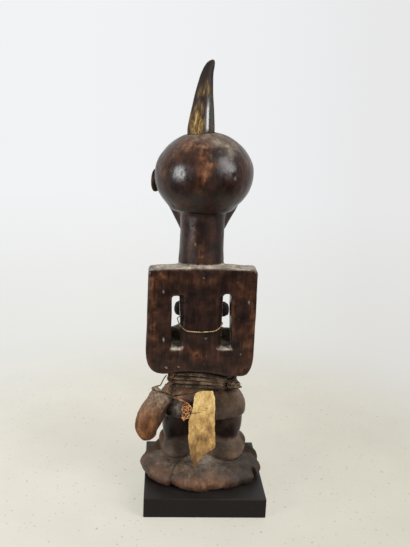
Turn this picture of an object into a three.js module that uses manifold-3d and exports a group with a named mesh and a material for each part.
// A carved standing power figure of one block of wood, with a horn in its crown,
// a rope round its waist, a charm packet at its chest, a leather pouch and a strip
// of hide at its hip, on a square plinth. Millimetres, +Z up, the figure faces -Y.
// The origin is the middle of the plinth's underside.
import * as THREE from 'three';
import { mergeVertices } from 'three/addons/utils/BufferGeometryUtils.js';
import Module from 'manifold-3d';

const wasm = await Module();
wasm.setup();

// Driving dimensions
const PLINTH_WIDTH = 150;
const PLINTH_DEPTH = 150;
const PLINTH_HEIGHT = 25;
const PLINTH_BEVEL = 1;
const SEAT_GAP = 0.3; // left between any two pieces that touch

const FIGURE_HEIGHT = 435; // from the underside of the wood to the crown
const HORN_LENGTH = 88;
const HORN_WIDTH = 31.5; // across its base
const HORN_SOCKET = 6; // depth of the hole in the crown
const HORN_FORWARD = 10; // how far its tip leans to the figure's front

const ROPE_DIAMETER = 5;
const ROPE_TURNS = 3.29; // the back shows one turn more than the front
const KNOT_LENGTH = 15;

const PACKET_LENGTH = 70;
const PACKET_HEIGHT = 20;
const PACKET_DEPTH = 15;
const THREAD_DIAMETER = 1.3;

const STRIP_LENGTH = 99;
const STRIP_WIDTH = 34; // at its widest, low down
const STRIP_THICKNESS = 1.4;

const POUCH_LENGTH = 71.5;
const POUCH_WIDTH = 32.6;
const POUCH_DEPTH = 28;
const CORD_DIAMETER = 1.8;
const STRING_DIAMETER = 1.4;

// The carving is laid out in 435 equal parts of the figure's own height, so its
// stations below are written in those parts, from the underside of the wood.
const PARTS = 435;
const part = FIGURE_HEIGHT / PARTS;

const FOOT_Z = PLINTH_HEIGHT + SEAT_GAP; // where the wood stands
const rise = (height) => FOOT_Z + part * height; // a height in parts, in the part's frame

const AXIS = 12; // the upper body stands this far to +X of the plinth's middle
const BACK = 35; // the flat back of the shoulder block
const BLOCK_FRONT = 6;
const GROUND_TOP = 28; // the ground's top under the feet
const HORN_X = 19.4;
const HORN_Y = 3;
const CROWN = 434; // the crown's height where the horn stands

// Stations: [height, centre x, centre y, half width, half depth, squareness]
const HIPS = [
  [83, 4.5, 1, 47, 29, 2.4],
  [86, 4.5, 1.5, 54, 36, 2.4],
  [92, 4.7, 1.5, 56, 38, 2.4],
  [98, 5, 1.5, 56, 38.5, 2.3],
  [106, 5.4, 1.5, 52.5, 37, 2.3],
  [114, 5.8, 1.5, 46.5, 34, 2.3],
  [122, 5.2, 1.5, 39.8, 30.8, 2.3],
  [130, 5.6, 1.5, 38.6, 30, 2.3],
  [152, 6.5, 1.5, 38.6, 30, 2.3],
];
const TORSO = [
  [146, AXIS, 2, 28, 26, 2.5],
  [174, AXIS, -1, 24.5, 32, 2.3],
  [190, AXIS, 1, 24, 31, 2.4],
  [204, AXIS, 7, 24.5, 24, 2.6],
  [222, AXIS, 8.5, 25.5, 24, 2.8],
  [248, AXIS, 7.5, 26, 24, 2.8],
  [266, AXIS, 5, 28, 25, 2.6],
  [276, AXIS + 0.5, 4, 28, 23, 2.4],
  [279, AXIS + 0.5, 3, 25, 19, 2.2],
];
const NECK = [
  [270, 12.8, 2, 27.8, 27.2, 2],
  [300, 13.1, 2, 26.6, 26.4, 2],
  [350, 13.6, 2, 27, 26.6, 2],
];
const CRANIUM = [
  [339, 15.6, 3, 28, 28, 2],
  [342, 15.5, 3, 37, 35.5, 2],
  [349, 15.2, 3, 42, 39.5, 2],
  [357, 14.8, 3, 48.5, 44.5, 2],
  [366, 14.4, 3, 54, 49, 2],
  [376, 13.9, 3, 57.4, 51.8, 2],
  [387, 13.4, 3, 58.2, 52.4, 2],
  [398, 13.1, 3, 56.4, 50.8, 2],
  [407, 12.8, 3, 52.2, 47, 2],
  [415, 12.5, 3, 46.4, 41.8, 2],
  [422, 12.3, 3, 39, 35, 2],
  [428, 12.2, 3, 30, 27, 2],
  [432.5, 12.2, 3, 19.5, 17.5, 2],
  [435, 12.2, 3, 7, 6.5, 2],
];
const FACE = [
  [286, 11.6, -37, 11, 8, 2.6],
  [291, 11.6, -36.5, 16, 12.5, 2.8],
  [314, 11.6, -31, 27.5, 21, 2.6],
  [331, 12, -26, 35.5, 26.5, 2.4],
  [344, 12.4, -22, 42, 30.5, 2.3],
  [372, 13.2, -15, 50, 35, 2.1],
  [386, 13.4, -12, 48, 35, 2],
];
const LEG = [
  [36, -2.4, 2, 15, 13, 2.6],
  [44, -2.2, 2, 15.2, 13, 2.6],
  [56, -1.2, 2, 17, 15.5, 2.8],
  [70, -0.3, 3, 18, 18.5, 2.8],
  [92, -2.5, 2, 20.5, 25, 2.4],
];
const FOOT = [
  [25, 0, -9, 17, 33, 2.8],
  [30, 0, -9, 18.7, 35.5, 2.8],
  [36, 0, -9, 18.6, 35, 2.6],
  [40.5, 0, -9, 17.2, 31.5, 2.4],
  [46, 0, -5.5, 14.5, 22, 2.3],
  [51, 0, -3, 12, 15, 2.2],
];
const LEG_X = [37, -29.5]; // left and right leg, from the plinth's middle
const FOOT_WIDEN = [1, 1.18];
const FOOT_BACK = [0, 3.5]; // the right foot is set further back
const FOOT_ASIDE = [0, -1.5];
const TOE_OUT = [0.16, 0.26]; // the feet turn outwards, radians

// Solids and their meshes

/** A closed geometry as a solid, with its shared corners merged. */
function solid(geometry) {
  const bare = geometry.clone();
  bare.deleteAttribute('normal');
  bare.deleteAttribute('uv');
  const merged = mergeVertices(bare, 1e-3);
  const index = merged.index.array;
  const triVerts = [];
  for (let i = 0; i < index.length; i += 3) {
    const [a, b, c] = index.slice(i, i + 3);
    if (a !== b && b !== c && c !== a) triVerts.push(a, b, c);
  }
  const vertProperties = new Float32Array(merged.attributes.position.array);
  return new wasm.Manifold(new wasm.Mesh({
    numProp: 3,
    vertProperties,
    triVerts: new Uint32Array(triVerts),
  }));
}

/** The solid's triangles as a geometry. */
function geometryOf(body) {
  const mesh = body.getMesh();
  const geometry = new THREE.BufferGeometry();
  geometry.setAttribute('position', new THREE.BufferAttribute(mesh.vertProperties, 3));
  geometry.setIndex(new THREE.BufferAttribute(mesh.triVerts, 1));
  return geometry;
}

const joined = (bodies) => bodies.reduce((whole, body) => whole.add(body));
const without = (body, cuts) => cuts.reduce((left, cut) => left.subtract(cut), body);

/** Moves each corner of a geometry to where a function of its place sends it. */
function reshaped(geometry, move) {
  const place = geometry.attributes.position;
  const point = new THREE.Vector3();
  for (let i = 0; i < place.count; i += 1) {
    point.fromBufferAttribute(place, i);
    move(point);
    place.setXYZ(i, point.x, point.y, point.z);
  }
  return geometry;
}

/** A power that keeps the value's sign; a cosine that should be none counts as none. */
function signedPower(value, power) {
  return Math.abs(value) < 1e-9 ? 0 : Math.sign(value) * Math.abs(value) ** power;
}

/** The point of a station's outline at an angle, moved out by a distance. */
function onOutline([height, x, y, halfWidth, halfDepth, square], angle, out = 0) {
  return new THREE.Vector3(
    x + (halfWidth + out) * signedPower(Math.cos(angle), 2 / square),
    y + (halfDepth + out) * signedPower(Math.sin(angle), 2 / square),
    height,
  );
}

/** The station of a carved mass at any height between its first and last. */
function stationAt(stations, height) {
  const above = stations.findIndex((row) => row[0] >= height);
  const upper = stations[above < 0 ? stations.length - 1 : Math.max(above, 1)];
  const lower = stations[stations.indexOf(upper) - 1];
  const share = (height - lower[0]) / (upper[0] - lower[0]);
  return lower.map((value, i) => value + share * (upper[i] - value));
}

/** A carved mass: the outlines of its stations, one above the other, closed flat. */
function mass(stations, sides) {
  const steps = stations.length - 1;
  const drum = new THREE.CylinderGeometry(1, 1, steps, sides, steps).rotateX(Math.PI / 2);
  return reshaped(drum, (point) => {
    const station = stations[Math.round(point.z + steps / 2)];
    if (Math.hypot(point.x, point.y) < 0.5) {
      point.set(station[1], station[2], station[0]);
    } else {
      point.copy(onOutline(station, Math.atan2(point.y, point.x)));
    }
  });
}

/** A ball stretched to three half sizes. */
function ball([x, y, z], [a, b, c], sides = 10) {
  const rings = Math.round(sides / 2) + 1;
  return new THREE.SphereGeometry(1, sides, rings).rotateX(Math.PI / 2)
    .scale(a, b, c).translate(x, y, z);
}

/** A limb: a round bar from one place to another, with its own radius at each end. */
function limb(from, to, startRadius, endRadius, sides = 8) {
  const start = new THREE.Vector3(...from);
  const end = new THREE.Vector3(...to);
  const along = end.clone().sub(start);
  const turn = new THREE.Quaternion().setFromUnitVectors(
    new THREE.Vector3(0, 1, 0),
    along.clone().normalize(),
  );
  const bar = new THREE.CapsuleGeometry(1, 1, 3, sides);
  return reshaped(bar, (point) => {
    const atEnd = point.y > 0;
    point.y += atEnd ? -0.5 : 0.5;
    point.multiplyScalar(atEnd ? endRadius : startRadius).applyQuaternion(turn);
    point.add(atEnd ? end : start);
  });
}

/** A flat cut or bar with its middle at a place, turned about the upright axis. */
function slab([x, y, z], [a, b, c], turn = 0, lean = 0) {
  return new THREE.BoxGeometry(a, b, c).rotateX(lean).rotateZ(turn).translate(x, y, z);
}

/** A round bar along a curve through points. */
function tube(points, diameter, steps, closed = false) {
  const path = new THREE.CatmullRomCurve3(points, closed, 'centripetal');
  const section = new THREE.Shape().absarc(0, 0, diameter / 2, 0, 2 * Math.PI);
  return new THREE.ExtrudeGeometry(section, { steps, curveSegments: 4, extrudePath: path });
}

// The ground: the rounded, worn foot of the block that the figure stands on
function ground() {
  const HALF_WIDTH = 77;
  const HALF_DEPTH = 60.5;
  const profile = [
    [0, 0], [0.93, 0], [0.975, 4], [1, 10], [0.97, 17], [0.88, 21],
    [0.7, 25], [0.45, GROUND_TOP], [0, GROUND_TOP + 1],
  ].map(([radius, height]) => new THREE.Vector2(radius, height));
  const disc = new THREE.LatheGeometry(profile, 28).rotateX(Math.PI / 2);
  return reshaped(disc, (point) => {
    const reach = Math.hypot(point.x, point.y);
    const angle = Math.atan2(point.y, point.x);
    const square = point.y > 0 ? 2 : 2.9;
    const wave = 1 + 0.02 * Math.sin(5 * angle + 0.6) + 0.014 * Math.sin(9 * angle + 2);
    const c = Math.cos(angle) / HALF_WIDTH;
    const s = Math.sin(angle) / HALF_DEPTH;
    const rim = (Math.abs(c) ** square + Math.abs(s) ** square) ** (-1 / square);
    point.set(
      2 + reach * rim * wave * Math.cos(angle),
      1.8 + reach * rim * wave * Math.sin(angle),
      point.z + (reach > 0.5 && point.z > 15 ? 1.4 * Math.sin(4 * angle + 1) : 0),
    );
  });
}

/** The chip broken from the rim and the crack that runs in from it. */
function groundCuts() {
  return [
    slab([-68, 33, 12], [18, 9, 40], -0.5),
    slab([41.5, 50, 20], [1.3, 44, 26], 0.18),
  ];
}

// Legs and feet
function leg(index) {
  const side = Math.sign(LEG_X[index]);
  const move = ([z, x, y, a, b, n]) => [z, LEG_X[index] + side * x, y, a, b, n];
  const stem = mass(LEG.map(move), 14);
  const knee = ball([LEG_X[index] + side * 3, -13, 67], [14.5, 16, 19]);
  const foot = mass(FOOT.map(([z, x, y, a, b, n]) => [z, x, y, a * FOOT_WIDEN[index], b, n]), 14);
  const place = (form) => form.rotateZ(side * TOE_OUT[index])
    .translate(LEG_X[index] - side * 1 + FOOT_ASIDE[index], FOOT_BACK[index], 0);
  place(foot);
  const toes = [-1.5, -0.5, 0.5, 1.5].map((row) => place(
    slab([row * 8 * FOOT_WIDEN[index], -41, 33], [1.6, 16, 18], 0, 0.5)));
  return without(joined([solid(stem), solid(knee), solid(foot)]), toes.map(solid));
}

// The shoulder block: shoulders, straight arms and elbows, cut through beside the trunk
function slot(points) {
  const hole = new THREE.Path();
  hole.moveTo(...points[0]);
  points.slice(1).forEach((corner) => hole.lineTo(...corner));
  hole.closePath();
  return hole;
}

const TRUNK_SIDES = [37.7, -14]; // the trunk between the slots
const TRUNK_CHAMFER = 7; // along each face of its back corners

/** The cuts that take off the trunk's two back corners. */
function trunkCorners() {
  const across = TRUNK_CHAMFER * Math.SQRT2;
  return TRUNK_SIDES.map((x) => slab([x, BACK, 211], [across, across, 60], Math.PI / 4));
}

function block() {
  const EDGE = 2.2;
  const outline = new THREE.Shape();
  outline.moveTo(76.4, 271);
  outline.quadraticCurveTo(76, 274.5, 72, 274.8);
  outline.lineTo(AXIS + 14, 279);
  outline.lineTo(AXIS - 14, 279.4);
  outline.lineTo(-50, 277.6);
  outline.quadraticCurveTo(-53.5, 277, -53.8, 273.6);
  outline.lineTo(-54.2, 178);
  outline.bezierCurveTo(-54.4, 154, -51.5, 143.6, -38, 142.8);
  outline.lineTo(-22, 143.1);
  outline.lineTo(-14, 145.1);
  outline.lineTo(3, 147.1);
  outline.lineTo(22, 148.2);
  outline.lineTo(34, 148.2);
  outline.lineTo(47, 145.2);
  outline.lineTo(56, 144.4);
  outline.bezierCurveTo(71.5, 144.8, 77.4, 155, 77.2, 180);
  outline.holes.push(
    slot([[47.6, 241], [45, 243.5], [40.2, 243.5], [38.1, 241], [35.4, 178], [46.6, 178]]),
    slot([[-14, 245], [-16, 247.3], [-21, 247.3], [-23, 245], [-26.2, 179], [-14, 179]]),
  );
  const depth = BACK - BLOCK_FRONT;
  return new THREE.ExtrudeGeometry(outline, {
    depth: depth - 2 * EDGE,
    curveSegments: 4,
    bevelThickness: EDGE,
    bevelSize: EDGE,
    bevelOffset: -EDGE,
    bevelSegments: 1,
  }).rotateX(Math.PI / 2).translate(0, BACK - EDGE, 0);
}

// Forearms bent forwards from the elbows, with the hands laid on the belly
function forearm(side) {
  const at = (out, y, z) => [AXIS + side * out, y, z];
  const arm = [
    limb(at(50, 16, 166), at(35, -1, 178), 14, 15.5),
    limb(at(35, -1, 178), at(21, -32, 178), 14, 10.5),
    ball(at(17, -38, 176), [13, 7.5, 12.5]),
  ];
  const fingers = [-1, 0, 1].map((row) => slab(at(12, -45, 176 + 5.6 * row), [16, 6, 1.4]));
  return without(joined(arm.map(solid)), fingers.map(solid));
}

// Each ear's middle, and how far it turns; the right one is set further forward
const EARS = [[71.6, -17, 374, -0.35], [-35.6, -29, 372, 0.62]];

// The head: a ball of a cranium, a face drawn down to a bearded chin, and C-shaped ears
function head() {
  const middle = 13.2;
  const features = [
    limb([middle, -49, 374], [middle, -54, 351], 3, 6.5, 8),
    ball([middle, -50.5, 328], [13, 7.5, 6.5]),
    limb([middle - 30, -40, 371], [middle, -48, 375], 4, 4.5, 8),
    limb([middle + 30, -40, 371], [middle, -48, 375], 4, 4.5, 8),
  ];
  const cuts = [slab([middle, -57, 328], [22, 6, 1.6])];
  [-1, 1].forEach((side) => {
    features.push(ball([middle + side * 19, -46.5, 360], [11, 6, 6]));
    cuts.push(slab([middle + side * 19, -53, 359.5], [17, 5, 1.6], side * 0.18));
  });
  EARS.forEach(([x, y, z, turn]) => {
    const rim = new THREE.TorusGeometry(10, 3.4, 6, 12).rotateY(Math.PI / 2)
      .scale(1, 0.8, 1.05).rotateZ(turn).translate(x, y, z);
    const flap = ball([0, 0, 0], [4, 7, 9], 8).rotateZ(turn);
    features.push(rim, flap.translate(x - Math.sign(x) * 4.4, y - 1, z));
  });
  for (let row = -1; row <= 1; row += 1) {
    cuts.push(slab([11.6 + row * 8, -53, 296], [1.6, 8, 22]));
  }
  const socket = new THREE.CylinderGeometry(HORN_WIDTH / 2 / part + SEAT_GAP / part,
    HORN_WIDTH / 2 / part + SEAT_GAP / part, 2 * HORN_SOCKET / part, 18)
    .rotateX(Math.PI / 2).translate(HORN_X, HORN_Y, CROWN);
  const forms = [mass(CRANIUM, 24), mass(FACE, 14), ...features].map(solid);
  return without(joined(forms), [...cuts, socket].map(solid));
}

/** The whole carving, one solid, standing on the plinth. */
function carvedFigure() {
  const belly = ball([AXIS, -14, 171], [31, 26, 27], 12);
  const navel = ball([AXIS, -39, 163], [4, 4, 4], 8);
  const cleft = slab([5, 42, 98], [2.2, 12, 34]);
  const body = joined([
    without(solid(ground()), groundCuts().map(solid)),
    leg(0),
    leg(1),
    solid(mass(HIPS, 24)).subtract(solid(cleft)),
    solid(mass(TORSO, 12)),
    solid(belly),
    solid(navel),
    without(solid(block()), trunkCorners().map(solid)),
    forearm(1),
    forearm(-1),
    solid(mass(NECK, 22)),
    head(),
  ]);
  return geometryOf(body).scale(part, part, part).translate(0, 0, FOOT_Z);
}

/** A station of the carving in millimetres, in the part's frame. */
function realStation(stations, height) {
  const [z, x, y, a, b, n] = stationAt(stations, height);
  return [rise(z), part * x, part * y, part * a, part * b, n];
}

// The horn: its middle line leans to -X and a little forwards, and it tapers to a blunt point
function horn() {
  const SHAPE = [ // share of the length, lean and half width as shares of the base's width
    [0, 0, 0.49], [0.07, 0, 0.5], [0.25, 0.02, 0.455], [0.39, 0.045, 0.402], [0.53, 0.065, 0.345],
    [0.69, 0.11, 0.28], [0.84, 0.175, 0.217], [0.92, 0.245, 0.178], [0.97, 0.3, 0.125],
    [1, 0.345, 0.055],
  ];
  const foot = rise(CROWN) - HORN_SOCKET + SEAT_GAP;
  return mass(SHAPE.map(([along, lean, half]) => [
    foot + along * HORN_LENGTH,
    part * HORN_X - lean * HORN_WIDTH,
    part * HORN_Y - HORN_FORWARD * Math.max(0, (along - 0.07) / 0.93) ** 1.2,
    half * HORN_WIDTH,
    half * HORN_WIDTH,
    2,
  ]), 18);
}

// The rope: one long bar wound up the waist, and its tangle at the -X side
const ROPE_LOW = 129.3; // the height of the lowest turn where it stands highest, in parts
const ROPE_SAG = 14; // how far the turns drop round the sides, in parts
const BACK_ANGLE = 1.3; // where they stand highest
const ROPE_START = 0.58; // turns from the -X side at which the rope begins
const KNOT_PLACE = 0.885; // turns from the -X side at which the tangle sits

/** A place beside the hips or waist: at a height in millimetres, out from the wood. */
function besideHips(angle, height, out) {
  return onOutline(realStation(HIPS, (height - FOOT_Z) / part), angle, out).setZ(height);
}

const angleAt = (turns) => 2 * Math.PI * turns - Math.PI;

/** The height of the rope's middle line at a number of turns. */
function ropeHeight(turns) {
  const turned = angleAt(turns) - BACK_ANGLE;
  const away = Math.atan2(Math.sin(turned), Math.cos(turned));
  const sag = ROPE_SAG * (1 - Math.exp(-0.5 * away * away));
  return rise(ROPE_LOW - sag) + (ROPE_DIAMETER + 0.1) * (turns - 0.75);
}

function waistRope() {
  const STEPS = 52;
  const CUT_IN = 0.7; // the flats of its bends
  const points = [];
  for (let i = 0; i <= STEPS; i += 1) {
    const turns = ROPE_START + (i / STEPS) * ROPE_TURNS;
    const height = ropeHeight(turns);
    const place = besideHips(angleAt(turns), height - ROPE_DIAMETER / 2,
      ROPE_DIAMETER / 2 + SEAT_GAP + CUT_IN);
    points.push(place.setZ(height));
  }
  const half = KNOT_LENGTH / 2;
  const knotHeight = ropeHeight(KNOT_PLACE) + 0.35 * half;
  const middle = besideHips(angleAt(KNOT_PLACE), knotHeight - 0.8 * half, 0.7 * half + SEAT_GAP)
    .setZ(knotHeight);
  const knot = new THREE.SphereGeometry(half, 10, 7).scale(0.7, 1, 0.85)
    .rotateZ(angleAt(KNOT_PLACE)).translate(...middle.toArray());
  const end = [middle.x - 1.5 * half, middle.y - 0.35 * half, middle.z - 0.9 * half];
  const stub = limb(middle.toArray(), end, 0.3 * ROPE_DIAMETER, 0.22 * ROPE_DIAMETER, 8);
  return geometryOf(joined([tube(points, ROPE_DIAMETER, STEPS), knot, stub].map(solid)));
}

// The packet across the chest, and the thread round the trunk that holds it
const PACKET_X = part * 8;
const PACKET_Z = rise(211.5);
const CHEST = 16.6; // how far the chest reaches to -Y behind the packet
const PACKET_Y = -part * CHEST - SEAT_GAP - PACKET_DEPTH / 2;

function chestPacket() {
  const SHAPE = [[-0.5, 0.24], [-0.45, 0.42], [-0.34, 0.5], [0.34, 0.5], [0.45, 0.42], [0.5, 0.24]];
  return mass(SHAPE.map(([along, half]) => [
    along * PACKET_LENGTH, 0, 0, half * PACKET_HEIGHT, half * PACKET_DEPTH, 2.2,
  ]), 16).rotateY(Math.PI / 2).translate(PACKET_X, PACKET_Y, PACKET_Z);
}

function chestThread() {
  const clear = THREAD_DIAMETER / 2 + 2 * SEAT_GAP;
  const left = part * TRUNK_SIDES[0] + clear;
  const right = part * TRUNK_SIDES[1] - clear;
  const back = part * BACK + clear;
  const cut = part * TRUNK_CHAMFER + 0.59 * clear; // from where its sides and back would meet
  const under = PACKET_Z - PACKET_HEIGHT / 2 - clear;
  const front = PACKET_Y - PACKET_DEPTH / 2 - clear;
  const end = PACKET_LENGTH / 2;
  const at = (x, y, z) => new THREE.Vector3(x, y, z);
  const points = [
    at(PACKET_X + 1.2, front, PACKET_Z),
    at(PACKET_X + 0.45 * end, front, PACKET_Z - 0.1 * PACKET_HEIGHT),
    at(PACKET_X + 0.66 * end, front + 2, under + 1.5),
    at(PACKET_X + 0.8 * end, PACKET_Y - 1, under),
    at(left, PACKET_Y + 0.7 * PACKET_DEPTH, under + 1),
    at(left, part * 5, rise(205)),
    at(left, back - cut - 5, rise(206.6)),
    at(left, back - cut, rise(206)),
    at(left - 0.5 * cut, back - 0.5 * cut, rise(203.6)),
    at(left - cut, back, rise(201.4)),
    at(left - cut - 5, back, rise(200.8)),
    at(part * AXIS, back, rise(200.2)),
    at(right + cut + 5, back, rise(200.8)),
    at(right + cut, back, rise(201.8)),
    at(right + 0.5 * cut, back - 0.5 * cut, rise(204)),
    at(right, back - cut, rise(206)),
    at(right, back - cut - 5, rise(206.4)),
    at(right, part * 5, rise(205)),
    at(right, PACKET_Y + 0.7 * PACKET_DEPTH, under + 1),
    at(PACKET_X - 0.62 * end, PACKET_Y - 1, under),
    at(PACKET_X - 0.5 * end, front + 2, under + 1.5),
    at(PACKET_X - 0.35 * end, front, PACKET_Z - 0.1 * PACKET_HEIGHT),
    at(PACKET_X - 1.2, front, PACKET_Z),
  ];
  const knot = ball([PACKET_X, front - 0.9 * THREAD_DIAMETER, PACKET_Z],
    [1.9 * THREAD_DIAMETER, 1.35 * THREAD_DIAMETER, 1.4 * THREAD_DIAMETER], 10);
  return geometryOf(joined([tube(points, THREAD_DIAMETER, 60), knot].map(solid)));
}

// The pouch: a stuffed bag that hangs against the back of the left hip
const POUCH_TOP = 128.1; // its mouth, in parts
const POUCH_X = 62.8;
const POUCH_Y = 33.5;

function pouch() {
  const SHAPE = [ // share of the length down from the mouth, shift, half width, half depth
    [1, 0.38, 0.05, 0.08], [0.985, 0.37, 0.13, 0.15], [0.934, 0.33, 0.275, 0.3],
    [0.822, 0.344, 0.393, 0.42], [0.655, 0.27, 0.475, 0.48], [0.53, 0.19, 0.5, 0.5],
    [0.397, 0.083, 0.49, 0.48], [0.28, -0.055, 0.495, 0.43], [0.22, -0.13, 0.49, 0.39],
    [0.14, -0.11, 0.36, 0.3], [0.09, -0.06, 0.24, 0.22], [0.032, 0, 0.105, 0.13],
    [0, 0, 0.06, 0.08],
  ];
  const bag = mass(SHAPE.map(([down, shift, half, thick]) => [
    rise(POUCH_TOP) - down * POUCH_LENGTH,
    part * POUCH_X + shift * POUCH_WIDTH,
    part * POUCH_Y,
    half * POUCH_WIDTH,
    thick * POUCH_DEPTH,
    2.2,
  ]), 14);
  const hip = mass(HIPS.map(([z, x, y, a, b, n]) => [
    rise(z), part * x, part * y, part * a + SEAT_GAP, part * b + SEAT_GAP, n,
  ]), 24);
  return geometryOf(solid(bag).subtract(solid(hip)));
}

// The cord that ties the pouch's mouth and runs on round the hip, under the strip
function pouchCord() {
  const clear = CORD_DIAMETER / 2 + SEAT_GAP;
  const CUT_IN = 0.4;
  const mouth = [ // in parts, from the rope round the pouch's neck and along its edge
    [50.8, 12.6, 135], [54.6, 20.5, 132.4], [58.2, 29, 128.4], [62.6, 28, 126.6],
    [68.4, 33, 125.8], [64, 39.6, 125.5], [57, 39.2, 123.9], [49.6, 36.4, 120.6],
    [44.6, 33.6, 117.2], [41.6, 30.8, 114.6],
  ].map(([x, y, z]) => new THREE.Vector3(part * x, part * y, rise(z)));
  const hip = [[46, 114], [58.4, 116.9], [73, 119.3], [90, 120.3], [108, 120.3], [122, 120.2]]
    .map(([degrees, height]) => besideHips(
      THREE.MathUtils.degToRad(degrees),
      rise(height),
      clear + CUT_IN,
    ));
  return tube([...mouth, ...hip], CORD_DIAMETER, 34);
}

// The string that hangs from the rope with its bunch of loops, in parts
const STRING_ROUTE = [
  [52, 12.5, 123.4], [50.8, 18.4, 116.6], [46.4, 24.8, 112.8], [39, 30.6, 111.4],
  [33.4, 34.4, 110.6], [28.2, 37.4, 109.4], [24.6, 39.6, 107.4], [22.6, 41, 104.4],
  [24.2, 42, 101.6], [27.8, 42, 102], [28, 42.8, 105.2], [25.4, 43.8, 104.6],
  [24.8, 43.6, 99.6], [27.8, 42.8, 96.4], [30.2, 42, 91.6], [29, 41.8, 87.6],
  [26.4, 42, 88.6], [25, 42.4, 92.2],
];

function knottedString() {
  return tube(STRING_ROUTE.map(([x, y, z]) => new THREE.Vector3(part * x, part * y, rise(z))),
    STRING_DIAMETER, 40);
}

// The strip of hide: cut to a slanting point, hung from the waist over the hip
function hideStrip() {
  const SHAPE = [ // share of the length down, and its two edges as shares of its width
    [1, 0.32, 0.28], [0.92, 0.39, 0.12], [0.84, 0.44, -0.02], [0.79, 0.47, -0.2],
    [0.75, 0.49, -0.48], [0.62, 0.53, -0.47], [0.48, 0.52, -0.43], [0.36, 0.5, -0.41],
    [0.26, 0.46, -0.42], [0.16, 0.43, -0.42], [0.06, 0.4, -0.38], [0.03, 0.05, -0.36],
    [0, -0.28, -0.34],
  ];
  const HANG = [ // height in parts, and how far it hangs behind the figure's middle
    [20, 46.4], [60, 45.2], [98, 42.3], [112, 39.7], [121, 37.7], [130, 36],
  ];
  const MIDDLE = 5;
  const TOP = 125.2;
  return mass(SHAPE.map(([down, left, right]) => {
    const height = TOP - (down * STRIP_LENGTH) / part;
    return [
      rise(height),
      part * MIDDLE + (STRIP_WIDTH * (left + right)) / 2,
      part * stationAt(HANG, height)[1],
      (STRIP_WIDTH * (left - right)) / 2,
      STRIP_THICKNESS / 2,
      12,
    ];
  }), 8);
}

function plinth() {
  const inset = 2 * PLINTH_BEVEL;
  const plan = new THREE.Shape();
  const halfWidth = PLINTH_WIDTH / 2 - PLINTH_BEVEL;
  const halfDepth = PLINTH_DEPTH / 2 - PLINTH_BEVEL;
  plan.moveTo(-halfWidth, -halfDepth);
  plan.lineTo(halfWidth, -halfDepth);
  plan.lineTo(halfWidth, halfDepth);
  plan.lineTo(-halfWidth, halfDepth);
  return new THREE.ExtrudeGeometry(plan, {
    depth: PLINTH_HEIGHT - inset,
    bevelThickness: PLINTH_BEVEL,
    bevelSize: PLINTH_BEVEL,
    bevelSegments: 1,
  }).translate(0, 0, PLINTH_BEVEL);
}

const figure = new THREE.Group();

/** Adds one named piece with its own material. */
function addPiece(name, geometry, colour, roughness) {
  const finish = new THREE.MeshStandardMaterial({ color: colour, roughness, metalness: 0 });
  const mesh = new THREE.Mesh(geometry, finish);
  mesh.name = name;
  figure.add(mesh);
}

addPiece('plinth', plinth(), 0x211c1a, 0.5);
addPiece('carved_figure', carvedFigure(), 0x3a2620, 0.35);
addPiece('horn', horn(), 0x4a3b26, 0.25);
addPiece('waist_rope', waistRope(), 0x4b4038, 0.9);
addPiece('chest_packet', chestPacket(), 0x17120f, 0.8);
addPiece('chest_thread', chestThread(), 0x9a8158, 0.8);
addPiece('pouch', pouch(), 0x5b3a2a, 0.7);
addPiece('pouch_cord', pouchCord(), 0x2c211b, 0.8);
addPiece('hide_strip', hideStrip(), 0xb08d52, 0.7);
addPiece('knotted_string', knottedString(), 0x9c6a3c, 0.8);

export default figure;
